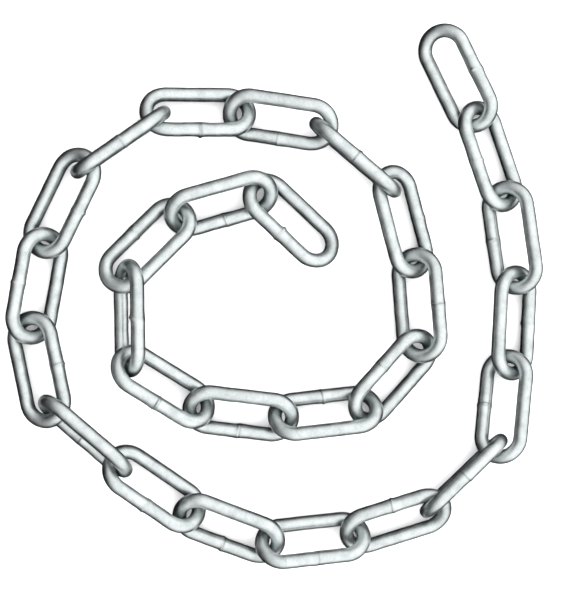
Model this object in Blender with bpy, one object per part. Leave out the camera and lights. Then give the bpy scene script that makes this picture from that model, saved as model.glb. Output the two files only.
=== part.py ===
"""A length of long-link welded steel chain, laid flat in an open spiral.

Metres, +Z up. The chain lies on the plane z = 0 and is seen from above, with +Y towards the
top of the photograph. Every link is a solid of its own, placed by where it lies.
"""
import math

import bmesh
import bpy
from mathutils import Matrix, Vector

MM = 0.001

# The link: the standard long-link chain of 8 mm wire, 52 mm inside length and 32 mm outside width.
WIRE_DIAMETER = 8.0 * MM
INSIDE_LENGTH = 52.0 * MM
OUTSIDE_WIDTH = 32.0 * MM

# The butt weld at the middle of one bar, pressed nearly flush, leaves a low bead round the wire.
WELD_PROUD = 0.25 * MM
WELD_CREST = 1.2 * MM
WELD_FOOT = 2.6 * MM

# How finely the round shapes are cut into flats.
WIRE_SIDES = 12
CROWN_STEPS = 8

# The section has the area of the round wire, so that each link keeps its true weight.
SECTION_RADIUS = WIRE_DIAMETER / 2 * math.sqrt(
    2 * math.pi / (WIRE_SIDES * math.sin(2 * math.pi / WIRE_SIDES))
)
CROWN_RADIUS = (OUTSIDE_WIDTH - WIRE_DIAMETER) / 2
BAR_HALF = (INSIDE_LENGTH + WIRE_DIAMETER) / 2 - CROWN_RADIUS

HIGH = "high"
LOW = "low"

# How each link lies, read off the photograph from the outer free end of the spiral to the inner
# one: centre x and y in millimetres from the middle of the picture, heading along the chain in
# degrees from +X, lean in degrees (+ raises the left bar), nose in degrees (+ raises the leading
# crown), and whether the weld is on the high or the low bar. The readings were eased by hand so
# that the wires of neighbouring links clear one another: places by 1 or 2 mm, leans by up to 11
# degrees.
LAY = (
    (103.5, 131.5, -64, 29, 1, HIGH),
    (123.0, 85.5, -71, -30, 0, HIGH),
    (136.0, 37.5, -82, 33, 1, LOW),
    (137.0, -13.0, -93, -32, 0, LOW),
    (130.0, -62.0, -98, 34, 9, LOW),
    (105.5, -102.5, -137, -81, 0, HIGH),
    (66.0, -129.0, -163, -31, -3, HIGH),
    (17.0, -139.5, -175, 38, 3, HIGH),
    (-32.0, -132.0, 159, -31, -2, LOW),
    (-75.0, -108.5, 145, 33, 4, HIGH),
    (-114.5, -77.5, 139, -75, 0, LOW),
    (-141.0, -39.5, 102, -26, -5, HIGH),
    (-142.5, 8.5, 80, 31, 0, HIGH),
    (-128.0, 56.0, 64, -29, 5, HIGH),
    (-94.5, 91.0, 35, 94, 0, HIGH),
    (-50.0, 109.5, 1, -26, -5, HIGH),
    (-2.0, 105.5, -9, 29, 8, LOW),
    (41.5, 83.5, -40, -83, 0, HIGH),
    (70.5, 46.5, -75, -30, -2, LOW),
    (80.0, -2.5, -86, 35, 3, HIGH),
    (64.5, -45.0, -132, -32, 0, HIGH),
    (24.5, -65.5, -174, 38, 2, LOW),
    (-25.0, -65.5, 173, -29, -2, LOW),
    (-70.0, -49.5, 148, 37, 8, HIGH),
    (-89.5, -10.0, 91, -67, 0, HIGH),
    (-79.0, 32.0, 45, -26, -2, LOW),
    (-36.5, 56.5, 16, 37, 1, LOW),
    (4.5, 47.0, -43, -26, 0, HIGH),
)


def clear_scene():
    for item in list(bpy.data.objects):
        bpy.data.objects.remove(item, do_unlink=True)


def make_steel():
    steel = bpy.data.materials.new("zinc_plated_steel")
    steel.use_nodes = True
    shader = steel.node_tree.nodes["Principled BSDF"]
    shader.inputs["Base Color"].default_value = (0.62, 0.64, 0.66, 1.0)
    shader.inputs["Metallic"].default_value = 1.0
    shader.inputs["Roughness"].default_value = 0.35
    return steel


def stations():
    """The wire's way round the link: centre, outward direction in the link's plane, radius."""
    bead = SECTION_RADIUS + WELD_PROUD
    way = []
    for x, radius in (
        (WELD_FOOT / 2, SECTION_RADIUS),
        (WELD_CREST / 2, bead),
        (-WELD_CREST / 2, bead),
        (-WELD_FOOT / 2, SECTION_RADIUS),
    ):
        way.append((Vector((x, CROWN_RADIUS, 0)), Vector((0, 1, 0)), radius))
    for end in (-1, 1):
        for step in range(CROWN_STEPS + 1):
            turn = math.pi * step / CROWN_STEPS
            outward = Vector((end * math.sin(turn), -end * math.cos(turn), 0))
            centre = Vector((end * BAR_HALF, 0, 0)) + CROWN_RADIUS * outward
            way.append((centre, outward, SECTION_RADIUS))
    return way


def make_link_mesh():
    """One link about its own centre: long way along X, wide way along Y, weld on the +Y bar."""
    mesh = bpy.data.meshes.new("link")
    shape = bmesh.new()
    rings = []
    for centre, outward, radius in stations():
        ring = []
        for side in range(WIRE_SIDES):
            turn = 2 * math.pi * side / WIRE_SIDES
            offset = outward * math.cos(turn) + Vector((0, 0, math.sin(turn)))
            ring.append(shape.verts.new(centre + radius * offset))
        rings.append(ring)
    for ring, following in zip(rings, rings[1:] + rings[:1]):
        for side in range(WIRE_SIDES):
            beyond = (side + 1) % WIRE_SIDES
            shape.faces.new((ring[side], ring[beyond], following[beyond], following[side]))
    bmesh.ops.recalc_face_normals(shape, faces=shape.faces)
    for face in shape.faces:
        face.smooth = True
    shape.to_mesh(mesh)
    shape.free()
    return mesh


def lie_on_floor(mesh, x, y, heading, lean, nose, weld):
    """Where a link lies: turned as it lies, with its lowest point on the floor."""
    turned = (
        Matrix.Rotation(math.radians(heading), 4, "Z")
        @ Matrix.Rotation(-math.radians(nose), 4, "Y")
        @ Matrix.Rotation(math.radians(lean), 4, "X")
    )
    weld_on_left = (lean > 0) == (weld == HIGH)
    if not weld_on_left:
        turned = turned @ Matrix.Rotation(math.pi, 4, "Z")
    lowest = min((turned @ corner.co).z for corner in mesh.vertices)
    return Matrix.Translation((x * MM, y * MM, -lowest)) @ turned


def build():
    clear_scene()
    steel = make_steel()
    mesh = make_link_mesh()
    mesh.materials.append(steel)
    places = [lie_on_floor(mesh, *row) for row in LAY]
    corners = [place @ corner.co for place in places for corner in mesh.vertices]
    low_x, low_y = min(c.x for c in corners), min(c.y for c in corners)
    high_x, high_y = max(c.x for c in corners), max(c.y for c in corners)
    to_middle = Matrix.Translation((-(low_x + high_x) / 2, -(low_y + high_y) / 2, 0))
    for number, place in enumerate(places, start=1):
        link = bpy.data.objects.new(f"link_{number:02d}", mesh)
        link.matrix_world = to_middle @ place
        bpy.context.scene.collection.objects.link(link)
    bpy.context.view_layer.update()


build()
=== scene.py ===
"""A length of long-link welded steel chain, zinc plated, laid on a pale floor in an open spiral.

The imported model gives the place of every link. The link is modelled once, as its maker makes it:
drawn wire bent to a loop and butt-welded in the middle of one bar. Each copy of it then gets its
own weld, dents and waver. Metres, +Z up.
"""
import math
import random

import bpy
import numpy as np
from mathutils import Matrix, Vector


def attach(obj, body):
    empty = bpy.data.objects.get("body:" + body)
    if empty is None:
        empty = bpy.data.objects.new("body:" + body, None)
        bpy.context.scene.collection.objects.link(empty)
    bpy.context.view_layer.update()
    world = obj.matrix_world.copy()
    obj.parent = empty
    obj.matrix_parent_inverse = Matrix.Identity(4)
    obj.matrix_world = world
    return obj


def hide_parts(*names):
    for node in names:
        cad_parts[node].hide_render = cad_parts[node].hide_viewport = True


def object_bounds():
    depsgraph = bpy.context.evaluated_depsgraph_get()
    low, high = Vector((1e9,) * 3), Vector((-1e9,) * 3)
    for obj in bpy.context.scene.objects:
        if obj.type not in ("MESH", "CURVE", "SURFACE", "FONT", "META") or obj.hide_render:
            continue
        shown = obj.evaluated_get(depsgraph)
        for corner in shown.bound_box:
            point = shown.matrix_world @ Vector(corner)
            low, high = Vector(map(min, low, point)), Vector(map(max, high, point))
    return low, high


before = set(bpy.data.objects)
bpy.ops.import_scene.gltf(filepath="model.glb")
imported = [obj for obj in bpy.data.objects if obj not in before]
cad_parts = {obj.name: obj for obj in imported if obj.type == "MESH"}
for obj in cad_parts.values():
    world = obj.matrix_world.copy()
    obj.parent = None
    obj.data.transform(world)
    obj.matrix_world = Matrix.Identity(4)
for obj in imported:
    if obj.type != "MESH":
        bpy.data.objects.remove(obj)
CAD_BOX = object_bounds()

MM = 0.001
SLOT = "zinc_plated_steel"

# The link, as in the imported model, but with its 8 mm wire 3% thicker. That is nearer to the
# photograph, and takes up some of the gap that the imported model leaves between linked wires.
WIRE_RADIUS = 4.12 * MM
CROWN_RADIUS = 12.0 * MM
BAR_HALF = 18.0 * MM
WIRE_LENGTH = 4 * BAR_HALF + 2 * math.pi * CROWN_RADIUS

# How finely the wire is cut.
WIRE_SIDES = 48
CROWN_STEPS = 32
BAR_STEPS = 24

# Rings of points on each side of the weld, in millimetres along the bar from it.
WELD_RINGS = (0.15, 0.3, 0.45, 0.6, 0.8, 1.0, 1.2, 1.5, 1.9, 2.4, 3.0, 3.7, 4.5, 5.4, 6.4)

# The butt weld, in millimetres. Pressing the hot ends together swells the wire, most of it evenly
# all round. Trimming leaves a low slanting ring of flash with a few burrs, and a nick beside it.
# The ends do not quite meet in line.
SWELLING = (0.12, 0.32)
SWELLING_EVEN = 0.6
SWELLING_AWAY = 0.6
SWELLING_REACH = 3.2
FLASH_STANDS = (0.03, 0.13)
FLASH_HALF_WIDTH = 0.45
FLASH_SLANT = (0.0, 0.5)
BURRS = (2, 4)
BURR_STANDS = (0.20, 0.46)
BURR_AWAY = (-0.5, 0.5)
BURR_HALF_WIDTH = 0.95
BURR_HALF_TURN = 0.60
NICK_DEPTH = (0.04, 0.24)
NICK_AWAY = 0.75
NICK_HALF_WIDTH = 0.50
ENDS_MISS = (0.08, 0.30)
ENDS_MISS_REACH = 11.0
ENDS_BLEND = 0.4

# The flash and the nick come and go round the wire in waves, so many to a turn.
RAGGED_WAVES = (1, 2, 3)

# How plainly the seam of a weld shows, from 0 to 1, and the links whose seam the photograph shows
# plainly, counted from the outer free end. A seam never fades below SEAM_STAYS times that.
PLAIN_SEAM = (0.55, 0.90)
FAINT_SEAM = (0.05, 0.30)
PLAIN_SEAM_LINKS = (6, 7, 8, 9, 15, 16, 17, 18, 20, 22, 23)
SEAM_STAYS = 0.75

# The painted shade that darkens the seam along the flash, and the painted highlight, a lighter
# patch beside the weld: how strong each is, from 0 to 1, and where it lies, in millimetres.
FLASH_SHADE = 0.25
FLASH_SHADE_HALF_WIDTH = 0.3
WELD_HIGHLIGHT = 0.4
WELD_HIGHLIGHT_AWAY = 3.2
WELD_HIGHLIGHT_HALF_WIDTH = 2.2

# Bending and tumbling leave shallow dents in the wire: how many to a link, how deep and how
# wide, in millimetres. Past three half widths a dent is too shallow to count.
DENTS = (10, 16)
DENT_DEPTH = (0.04, 0.12)
DENT_HALF_WIDTH = (1.2, 3.0)
DENT_REACH = 3

# The wire's middle line wavers slowly: how far, in millimetres, and its waves to a lap.
WAVER = 0.07
WAVER_LAPS = (5, 8, 13)

# The wear is drawn from other seeds than the welds.
WEAR_SEED = 100

# The plate's patterns, as real sizes. The grain is coarser than real, so that it shows.
DIE_LINE_LENGTH = 30.0 * MM
DIE_LINE_SPACING = 0.8 * MM
BLOOM_SIZE = 6.0 * MM
GRAIN_SIZE = 0.7 * MM
SURFACE_RELIEF = 0.06 * MM

# Each link takes its patterns from a stretch of wire this far on, in metres.
PATTERN_SHIFT = 0.37

# The studio: the way to the light tent's middle, its soft rim as two cosines from that way, the
# brightness of the tent and of the room round it, the heights between which the light dies away
# at the horizon, as sines, the share that is left below, and the light on the floor alone.
TENT_MIDDLE = (0.75, -0.17, 0.64)
TENT_RIM = (-0.69, 0.75)
TENT_GLOW = 1.60
ROOM_GLOW = 0.03
HORIZON = (-0.25, 0.20)
LEFT_BELOW = 0.03
FLOOR_WASH = 4.0

# The floor's width in metres, enough for its edge never to show in a low view.
FLOOR_WIDTH = 400.0

# The camera, in millimetres: what it looks at from the middle of the chain's box on the floor,
# where it stands from there, and how much of the scene the picture's long side takes in.
CAMERA_AIM = (2.5, -4.0, 10.0)
CAMERA_AWAY = (-88.0, -7.0, 892.0)
PICTURE_TAKES_IN = 350.0
SENSOR_WIDTH = 36.0


def srgb(hex_colour):
    """A colour written as sRGB hex, in the linear values that shaders take."""
    out = []
    for start in (1, 3, 5):
        value = int(hex_colour[start:start + 2], 16) / 255
        out.append(value / 12.92 if value <= 0.04045 else ((value + 0.055) / 1.055) ** 2.4)
    return (*out, 1.0)


def add_node(tree, kind, settings=None, sockets=None, links=None):
    """One shader node, with its settings, its constant sockets and the sockets linked into it."""
    node = tree.nodes.new(kind)
    for name, value in (settings or {}).items():
        setattr(node, name, value)
    for name, value in (sockets or {}).items():
        node.inputs[name].default_value = value
    for name, source in (links or {}).items():
        tree.links.new(source, node.inputs[name])
    return node


def empty_material(name):
    material = bpy.data.materials.new(name)
    material.use_nodes = True
    material.node_tree.nodes.clear()
    return material, material.node_tree


def zinc_plated_steel():
    """Bright zinc electroplated on cold-drawn steel wire.

    The drawing die leaves fine lines along the wire, which the plating softens. The surface is
    pale, slightly cool, half-matt metal, a little blotchy. The weld's seam and nick are painted
    darker, as painted shade, and a patch beside the weld is painted lighter, as a painted highlight.
    """
    material, tree = empty_material(SLOT)
    wire = add_node(tree, "ShaderNodeAttribute", {"attribute_name": "wire_way"})
    # The weld's painted shade and painted highlight, stored on the mesh.
    seam_shade = add_node(tree, "ShaderNodeAttribute", {"attribute_name": "weld_seam_shade"})
    weld_highlight = add_node(tree, "ShaderNodeAttribute", {"attribute_name": "painted_weld_highlight"})
    # Die lines: close together round the wire and long along it.
    across = 1 / DIE_LINE_SPACING
    streak_way = add_node(
        tree, "ShaderNodeMapping",
        sockets={"Scale": (1 / DIE_LINE_LENGTH, across, across)},
        links={"Vector": wire.outputs["Vector"]},
    )
    streaks = add_node(
        tree, "ShaderNodeTexNoise",
        sockets={"Scale": 1.0, "Detail": 3.0, "Roughness": 0.6},
        links={"Vector": streak_way.outputs["Vector"]},
    )
    # Plating bloom: soft patches, broken up down to an eighth of their size.
    bloom = add_node(
        tree, "ShaderNodeTexNoise",
        sockets={"Scale": 1 / BLOOM_SIZE, "Detail": 3.0, "Roughness": 0.6},
        links={"Vector": wire.outputs["Vector"]},
    )
    # Grain of the plate: drawn coarser than real, so that it shows.
    grain = add_node(
        tree, "ShaderNodeTexNoise",
        sockets={"Scale": 1 / GRAIN_SIZE, "Detail": 2.0, "Roughness": 0.7},
        links={"Vector": wire.outputs["Vector"]},
    )
    tone = add_node(
        tree, "ShaderNodeMapRange",
        sockets={"From Min": 0.3, "From Max": 0.7, "To Min": 0.0, "To Max": 1.0},
        links={"Value": bloom.outputs["Fac"]},
    )
    plate = add_node(
        tree, "ShaderNodeMix", {"data_type": "RGBA"},
        sockets={"A": srgb("#B6BDBD"), "B": srgb("#D8DDDD")},
        links={"Factor": tone.outputs["Result"]},
    )
    speckled = add_node(
        tree, "ShaderNodeMix", {"data_type": "RGBA", "blend_type": "SOFT_LIGHT"},
        sockets={"Factor": 0.65},
        links={"A": plate.outputs["Result"], "B": grain.outputs["Fac"]},
    )
    # Painted highlight: a lighter patch beside the weld.
    highlighted = add_node(
        tree, "ShaderNodeMix", {"data_type": "RGBA"},
        sockets={"B": srgb("#DEE3E3")},
        links={"Factor": weld_highlight.outputs["Fac"], "A": speckled.outputs["Result"]},
    )
    # Painted shade: the seam's nick and the line along its flash, darker.
    colour = add_node(
        tree, "ShaderNodeMix", {"data_type": "RGBA"},
        sockets={"B": srgb("#767C7B")},
        links={"Factor": seam_shade.outputs["Fac"], "A": highlighted.outputs["Result"]},
    )
    rough = add_node(
        tree, "ShaderNodeMapRange",
        sockets={"From Min": 0.3, "From Max": 0.7, "To Min": 0.30, "To Max": 0.44},
        links={"Value": bloom.outputs["Fac"]},
    )
    height = add_node(
        tree, "ShaderNodeMath", {"operation": "MULTIPLY_ADD"},
        sockets={1: 0.5},
        links={0: grain.outputs["Fac"], 2: streaks.outputs["Fac"]},
    )
    bump = add_node(
        tree, "ShaderNodeBump",
        sockets={"Strength": 0.5, "Distance": SURFACE_RELIEF},
        links={"Height": height.outputs["Value"]},
    )
    shader = add_node(
        tree, "ShaderNodeBsdfPrincipled",
        sockets={"Metallic": 1.0},
        links={
            "Base Color": colour.outputs["Result"],
            "Roughness": rough.outputs["Result"],
            "Normal": bump.outputs["Normal"],
        },
    )
    add_node(
        tree, "ShaderNodeOutputMaterial",
        links={"Surface": shader.outputs["BSDF"]},
    )
    return material


def extrude_along(distance):
    bpy.ops.mesh.extrude_region_move(TRANSFORM_OT_translate={"value": (distance, 0, 0)})


def draw_crown(end):
    """Bends the wire half round at one end of the link."""
    bpy.ops.mesh.spin(
        steps=CROWN_STEPS, angle=-math.pi, center=(end * BAR_HALF, 0, 0), axis=(0, 0, 1)
    )


def model_link():
    """One link about its own centre: long way along X, wide way along Y, weld on the +Y bar."""
    bpy.ops.object.select_all(action="DESELECT")
    bpy.ops.mesh.primitive_circle_add(
        vertices=WIRE_SIDES,
        radius=WIRE_RADIUS,
        location=(0, CROWN_RADIUS, 0),
        rotation=(0, math.pi / 2, 0),
    )
    link = bpy.context.active_object
    bpy.ops.object.transform_apply(location=True, rotation=True, scale=True)
    bpy.ops.object.mode_set(mode="EDIT")
    bpy.ops.mesh.select_all(action="SELECT")
    # Out of the weld along the bar, round one crown, back along the plain bar, round the other
    # crown, and up to the weld again.
    rings = (0.0,) + WELD_RINGS
    steps = [(far - near) * MM for near, far in zip(rings, rings[1:])]
    plain = (BAR_HALF - WELD_RINGS[-1] * MM) / (BAR_STEPS // 2)
    for step in steps + [plain] * (BAR_STEPS // 2):
        extrude_along(-step)
    draw_crown(-1)
    for _ in range(BAR_STEPS):
        extrude_along(2 * BAR_HALF / BAR_STEPS)
    draw_crown(1)
    for step in [plain] * (BAR_STEPS // 2) + steps[::-1]:
        extrude_along(-step)
    bpy.ops.mesh.select_all(action="SELECT")
    bpy.ops.mesh.remove_doubles(threshold=0.01 * MM)
    bpy.ops.mesh.normals_make_consistent(inside=False)
    bpy.ops.object.mode_set(mode="OBJECT")
    bpy.ops.object.shade_smooth()
    return link


def hump(distance, half_width):
    return math.exp(-(distance / half_width) ** 2)


def apart(turn, other):
    """The angle between two ways round the wire."""
    return abs((turn - other + math.pi) % (2 * math.pi) - math.pi)


def trim_weld(mesh, chance, seam_shows):
    """Gives a copy its own weld, no two alike, since each is pressed and trimmed apart.

    The nick lies on one side of the seam, and a painted highlight, a lighter patch, on the other.
    The nick and a line along the flash are painted darker, as painted shade.
    """
    swelling, flash = chance.uniform(*SWELLING), chance.uniform(*FLASH_STANDS)
    nick, miss = chance.uniform(*NICK_DEPTH), chance.uniform(*ENDS_MISS)
    side = chance.choice((-1, 1))
    miss_way = chance.uniform(-math.pi, math.pi)
    burrs = [
        (
            chance.uniform(*BURR_AWAY), chance.uniform(-math.pi, math.pi),
            chance.uniform(*BURR_STANDS),
        )
        for _ in range(chance.randint(*BURRS))
    ]
    waves = [(count, chance.uniform(-math.pi, math.pi)) for count in RAGGED_WAVES]
    slant, clear = chance.uniform(*FLASH_SLANT), chance.uniform(*seam_shows)
    seam_shade = mesh.attributes.new("weld_seam_shade", "FLOAT", "POINT")
    weld_highlight = mesh.attributes.new("painted_weld_highlight", "FLOAT", "POINT")
    for vertex in mesh.vertices:
        x, y, z = vertex.co.x / MM, (vertex.co.y - CROWN_RADIUS) / MM, vertex.co.z / MM
        if vertex.co.y < 0 or abs(x) > BAR_HALF / MM:
            continue
        turn = math.atan2(z, y)
        # How much of the flash and the nick there is at this turn, from 0 to 1.
        ragged = 0.5 + 0.5 * sum(math.sin(count * turn + start) for count, start in waves) / 2
        ragged = min(1.0, max(SEAM_STAYS * clear, ragged))
        ring = x - slant * math.sin(turn + waves[0][1])
        # The nick: a dent in the wire, painted darker as painted shade.
        nick_and_its_shade = clear * hump(ring - side * NICK_AWAY, NICK_HALF_WIDTH) * ragged
        swollen = swelling * (SWELLING_EVEN + (1 - SWELLING_EVEN) * ragged)
        stand = (
            swollen * hump(x - side * SWELLING_AWAY, SWELLING_REACH)
            + flash * ragged * hump(ring, FLASH_HALF_WIDTH)
            + sum(
                height * hump(ring - place, BURR_HALF_WIDTH) * hump(apart(turn, way), BURR_HALF_TURN)
                for place, way, height in burrs
            )
            - nick * nick_and_its_shade
        )
        slide = math.copysign(miss / 2, x) * hump(x, ENDS_MISS_REACH) * (1 - hump(x, ENDS_BLEND))
        vertex.co.y += (stand * math.cos(turn) + slide * math.cos(miss_way)) * MM
        vertex.co.z += (stand * math.sin(turn) + slide * math.sin(miss_way)) * MM
        # Painted shade: a darker line along the flash, added to the darker nick.
        flash_shade = FLASH_SHADE * clear * hump(ring, FLASH_SHADE_HALF_WIDTH) * ragged
        seam_shade.data[vertex.index].value = min(1.0, nick_and_its_shade + flash_shade)
        # Painted highlight: a lighter patch on the far side of the weld from the nick.
        highlight = WELD_HIGHLIGHT * hump(x + side * WELD_HIGHLIGHT_AWAY, WELD_HIGHLIGHT_HALF_WIDTH)
        weld_highlight.data[vertex.index].value = highlight


def outward_at(point):
    """The way out of the loop, in the link's plane, at a point of its wire."""
    beyond = abs(point.x) - BAR_HALF
    if beyond > 0:
        return Vector((math.copysign(beyond, point.x), point.y, 0)).normalized()
    return Vector((0, math.copysign(1, point.y), 0))


def straightened(point):
    """Where a point of the link would be if its wire were straight again: along, and across.

    Along runs from the weld, by way of the -X crown, to the weld again.
    """
    crown = math.pi * CROWN_RADIUS
    beyond = abs(point.x) - BAR_HALF
    if beyond > 0:
        across = math.hypot(beyond, point.y) - CROWN_RADIUS
        turn = math.atan2(beyond, -point.y)
        if point.x < 0:
            along = BAR_HALF + crown - turn * CROWN_RADIUS
        else:
            along = 3 * BAR_HALF + crown + turn * CROWN_RADIUS
    elif point.y > 0:
        across = point.y - CROWN_RADIUS
        along = -point.x
    else:
        across = -point.y - CROWN_RADIUS
        along = 2 * BAR_HALF + crown + point.x
    return along, across, point.z


def mark_wire(mesh, offset):
    """Stores where each corner lies on the straightened wire, for the drawing lines to follow."""
    way = mesh.attributes.new("wire_way", "FLOAT_VECTOR", "CORNER")
    for face in mesh.polygons:
        middle = straightened(face.center)[0]
        for loop in face.loop_indices:
            along, across, up = straightened(mesh.vertices[mesh.loops[loop].vertex_index].co)
            if along - middle > WIRE_LENGTH / 2:
                along -= WIRE_LENGTH
            if middle - along > WIRE_LENGTH / 2:
                along += WIRE_LENGTH
            way.data[loop].vector = (along + offset, across, up)


def waver(lap, starts):
    """How far the wire's middle line strays at a point of its lap."""
    swing = WAVER * MM / len(WAVER_LAPS)
    return swing * sum(math.sin(count * lap + start) for count, start in zip(WAVER_LAPS, starts))


def wear_wire(mesh, chance):
    """Dents the wire a little, and makes its middle line waver, as bending and handling do."""
    dents = [
        (
            chance.uniform(0, WIRE_LENGTH), chance.uniform(-math.pi, math.pi),
            chance.uniform(*DENT_DEPTH) * MM, chance.uniform(*DENT_HALF_WIDTH) * MM,
        )
        for _ in range(chance.randint(*DENTS))
    ]
    sideways_starts = [chance.uniform(-math.pi, math.pi) for _ in WAVER_LAPS]
    lift_starts = [chance.uniform(-math.pi, math.pi) for _ in WAVER_LAPS]
    for vertex in mesh.vertices:
        along, across, up = straightened(vertex.co)
        turn = math.atan2(up, across)
        lap = 2 * math.pi * along / WIRE_LENGTH
        outward = outward_at(vertex.co)
        stand = 0.0
        for place, way, depth, half_width in dents:
            off = abs((along - place + WIRE_LENGTH / 2) % WIRE_LENGTH - WIRE_LENGTH / 2)
            if off < DENT_REACH * half_width:
                around = apart(turn, way) * WIRE_RADIUS
                stand -= depth * hump(off, half_width) * hump(around, half_width)
        sideways, lift = waver(lap, sideways_starts), waver(lap, lift_starts)
        vertex.co += outward * (stand * math.cos(turn) + sideways)
        vertex.co.z += stand * math.sin(turn) + lift


def lie_like(node):
    """The turn and place of a packed link, with its weld bar on +Y and its upper face on +Z."""
    mesh = node.data
    corners = np.array([tuple(v.co) for v in mesh.vertices])
    faces = [tuple(p.vertices) for p in mesh.polygons]
    triangles = corners[np.array(faces)]
    middles = triangles.mean(axis=1)
    crossed = np.cross(triangles[:, 1] - triangles[:, 0], triangles[:, 2] - triangles[:, 0])
    areas = np.linalg.norm(crossed, axis=1)
    centre = (middles * areas[:, None]).sum(axis=0) / areas.sum()
    spread = (middles - centre) * np.sqrt(areas)[:, None]
    _, axes = np.linalg.eigh(spread.T @ spread)
    up, wide = Vector(axes[:, 0]), Vector(axes[:, 1])
    # The weld bead makes the link reach farther on its own side.
    reach = (corners - centre) @ axes[:, 1]
    if reach.max() < -reach.min():
        wide = -wide
    if up.z < 0:
        up = -up
    along = wide.cross(up)
    turned = Matrix((along, wide, up)).transposed().to_4x4()
    return Matrix.Translation(Vector(centre)) @ turned


def keep_in_box(mesh):
    """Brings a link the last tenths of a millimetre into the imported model's box.

    A link that stands on edge is as tall as the box, so it is pressed down to fit before it
    slides.
    """
    low, high = np.array(CAD_BOX)
    corners = np.array([tuple(v.co) for v in mesh.vertices])
    foot, top = corners.min(axis=0), corners.max(axis=0)
    middle, fit = (foot + top) / 2, np.minimum(1, (high - low) / (top - foot))
    foot, top = middle + fit * (foot - middle), middle + fit * (top - middle)
    into = middle + np.maximum(low - foot, 0) + np.minimum(high - top, 0)
    press = Matrix.Diagonal((*fit, 1)) @ Matrix.Translation(-Vector(middle))
    mesh.transform(Matrix.Translation(Vector(into)) @ press)


def lay_links(master):
    """A copy of the link for every packed one, each with its own mesh in its own place."""
    material = zinc_plated_steel()
    for number, name in enumerate(sorted(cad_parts)):
        link = bpy.data.objects.new(f"welded_{name}", master.data.copy())
        bpy.context.scene.collection.objects.link(link)
        mark_wire(link.data, offset=number * PATTERN_SHIFT)
        wear_wire(link.data, random.Random(WEAR_SEED + number))
        plain = number + 1 in PLAIN_SEAM_LINKS
        trim_weld(link.data, random.Random(number), PLAIN_SEAM if plain else FAINT_SEAM)
        link.data.transform(lie_like(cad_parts[name]))
        keep_in_box(link.data)
        link.data.materials.append(material)
        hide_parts(name)
        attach(link, "root")
    bpy.data.objects.remove(master, do_unlink=True)


def pale_floor():
    """A plain white studio floor, wide enough to fill every view."""
    material, tree = empty_material("matt_white_floor")
    shader = add_node(
        tree, "ShaderNodeBsdfPrincipled",
        sockets={"Base Color": srgb("#F7F7F7"), "Roughness": 1.0, "Specular IOR Level": 0.0},
    )
    add_node(tree, "ShaderNodeOutputMaterial", links={"Surface": shader.outputs["BSDF"]})
    bpy.ops.mesh.primitive_plane_add(size=FLOOR_WIDTH, location=(0, 0, 0))
    floor = bpy.context.active_object
    floor.name = "studio_floor"
    floor.data.materials.append(material)
    floor.visible_glossy = False


def studio_light():
    """A white tent hung to the right of the chain, and a soft light that only the floor takes.

    The tent is brightest 40 degrees up on the right and fades smoothly, past overhead, into a
    dark room low on the left. Round polished wire shows that as a dark band along its left and
    far sides.
    """
    world = bpy.data.worlds.new("light_tent")
    bpy.context.scene.world = world
    world.use_nodes = True
    tree = world.node_tree
    tree.nodes.clear()
    way = add_node(tree, "ShaderNodeTexCoord")
    # How near a direction is to the tent's middle, as the cosine of the angle between them.
    nearness = add_node(
        tree, "ShaderNodeVectorMath", {"operation": "DOT_PRODUCT"},
        sockets={1: Vector(TENT_MIDDLE).normalized()},
        links={0: way.outputs["Generated"]},
    )
    glow = add_node(
        tree, "ShaderNodeMapRange", {"interpolation_type": "SMOOTHSTEP"},
        sockets={
            "From Min": TENT_RIM[0], "From Max": TENT_RIM[1],
            "To Min": ROOM_GLOW, "To Max": TENT_GLOW,
        },
        links={"Value": nearness.outputs["Value"]},
    )
    # The light dies away across the horizon, and hardly any comes from below, which gives every
    # wire its dark edge.
    parts = add_node(
        tree, "ShaderNodeSeparateXYZ", links={"Vector": way.outputs["Generated"]}
    )
    above = add_node(
        tree, "ShaderNodeMapRange", {"interpolation_type": "SMOOTHSTEP"},
        sockets={
            "From Min": HORIZON[0], "From Max": HORIZON[1], "To Min": LEFT_BELOW, "To Max": 1.0,
        },
        links={"Value": parts.outputs["Z"]},
    )
    strength = add_node(
        tree, "ShaderNodeMath", {"operation": "MULTIPLY"},
        links={0: glow.outputs["Result"], 1: above.outputs["Result"]},
    )
    light = add_node(
        tree, "ShaderNodeBackground",
        sockets={"Color": srgb("#FFFFFF")}, links={"Strength": strength.outputs["Value"]},
    )
    add_node(tree, "ShaderNodeOutputWorld", links={"Surface": light.outputs["Background"]})
    wash = bpy.data.lights.new("floor_wash", "SUN")
    wash.energy = FLOOR_WASH
    wash.angle = math.pi
    lamp = bpy.data.objects.new("floor_wash", wash)
    lamp.visible_glossy = False
    bpy.context.scene.collection.objects.link(lamp)


def plain_view():
    """Shows light as it falls, so that the white floor comes out white."""
    view = bpy.context.scene.view_settings
    view.view_transform = "Standard"
    view.look = "None"
    view.exposure = 0.0


def photo_camera():
    """Nearly straight above, from a little to the left, as the photograph was taken."""
    low, high = CAD_BOX
    middle = Vector(((low.x + high.x) / 2, (low.y + high.y) / 2, 0))
    aim = middle + Vector(CAMERA_AIM) * MM
    away = Vector(CAMERA_AWAY) * MM
    data = bpy.data.cameras.new("photo_camera")
    camera = bpy.data.objects.new("photo_camera", data)
    bpy.context.scene.collection.objects.link(camera)
    back = away.normalized()
    right = Vector((0, 1, 0)).cross(back).normalized()
    camera.matrix_world = Matrix.Translation(aim + away) @ Matrix(
        (right, back.cross(right), back)
    ).transposed().to_4x4()
    data.sensor_width = SENSOR_WIDTH
    data.lens = SENSOR_WIDTH * away.length / (PICTURE_TAKES_IN * MM)
    data.clip_start = 0.01
    bpy.context.scene.camera = camera


lay_links(model_link())
pale_floor()
studio_light()
plain_view()
photo_camera()
